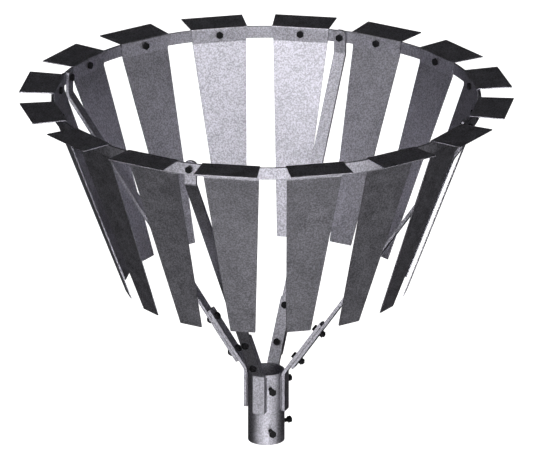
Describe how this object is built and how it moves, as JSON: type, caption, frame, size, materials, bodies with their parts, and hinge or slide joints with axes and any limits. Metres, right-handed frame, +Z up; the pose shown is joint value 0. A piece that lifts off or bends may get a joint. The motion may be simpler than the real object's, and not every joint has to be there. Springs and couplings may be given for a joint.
{
  "type": "vertical axis turbine rotor",
  "caption": "Basket-shaped vertical axis turbine rotor: folded, tapered sheet vanes bolted inside a rolled hoop that flat-bar arms carry on a set-screwed hub tube.",
  "frame": {"origin": "on the turning axis, at the bottom rim of the hub tube", "axes": "+Z up along the turning axis, from the hub tube to the hoop; -Y to the front, where a slot between two vanes lies; the arms stand 22.5 degrees off the X and Y axes"},
  "size_m": [1.1872, 1.1872, 0.8826],
  "materials": {
    "vane_sheet": "matte grey sheet steel, faintly mottled",
    "bar_steel": "satin grey flat bar",
    "hub_steel": "satin grey tube",
    "fastener": "black oxide, satin"
  },
  "bodies": {
    "rotor": {"hub_tube": "hub_steel", "hoop": "bar_steel", "vane_01": "vane_sheet", "vane_02": "vane_sheet", "vane_03": "vane_sheet", "vane_04": "vane_sheet", "vane_05": "vane_sheet", "vane_06": "vane_sheet", "vane_07": "vane_sheet", "vane_08": "vane_sheet", "vane_09": "vane_sheet", "vane_10": "vane_sheet", "vane_11": "vane_sheet", "vane_12": "vane_sheet", "vane_13": "vane_sheet", "vane_14": "vane_sheet", "vane_15": "vane_sheet", "vane_16": "vane_sheet", "vane_bolt_01": "fastener", "vane_bolt_02": "fastener", "vane_bolt_03": "fastener", "vane_bolt_04": "fastener", "vane_bolt_05": "fastener", "vane_bolt_06": "fastener", "vane_bolt_07": "fastener", "vane_bolt_08": "fastener", "vane_bolt_09": "fastener", "vane_bolt_10": "fastener", "vane_bolt_11": "fastener", "vane_bolt_12": "fastener", "vane_bolt_13": "fastener", "vane_bolt_14": "fastener", "vane_bolt_15": "fastener", "vane_bolt_16": "fastener", "hub_bracket_1": "bar_steel", "hub_bracket_2": "bar_steel", "hub_bracket_3": "bar_steel", "hub_bracket_4": "bar_steel", "arm_strap_1": "bar_steel", "arm_strap_2": "bar_steel", "arm_strap_3": "bar_steel", "arm_strap_4": "bar_steel", "arm_bolt_1": "fastener", "arm_bolt_2": "fastener", "arm_bolt_3": "fastener", "arm_bolt_4": "fastener", "splice_bolt_lower_1": "fastener", "splice_bolt_upper_1": "fastener", "splice_bolt_lower_2": "fastener", "splice_bolt_upper_2": "fastener", "splice_bolt_lower_3": "fastener", "splice_bolt_upper_3": "fastener", "splice_bolt_lower_4": "fastener", "splice_bolt_upper_4": "fastener"},
    "set_screw_1": {"set_screw_1": "fastener"},
    "set_screw_2": {"set_screw_2": "fastener"},
    "set_screw_3": {"set_screw_3": "fastener"},
    "set_screw_4": {"set_screw_4": "fastener"}
  },
  "joints": [
    {"name": "set_screw_1_travel", "type": "slide", "parent": "rotor", "child": "set_screw_1", "axis": [0.1951, -0.9808, 0], "range_m": [-0.02, 0.005]},
    {"name": "set_screw_2_travel", "type": "slide", "parent": "rotor", "child": "set_screw_2", "axis": [0.1951, -0.9808, 0], "range_m": [-0.02, 0.005]},
    {"name": "set_screw_3_travel", "type": "slide", "parent": "rotor", "child": "set_screw_3", "axis": [0.8315, 0.5556, 0], "range_m": [-0.02, 0.005]},
    {"name": "set_screw_4_travel", "type": "slide", "parent": "rotor", "child": "set_screw_4", "axis": [0.8315, 0.5556, 0], "range_m": [-0.02, 0.005]}
  ]
}
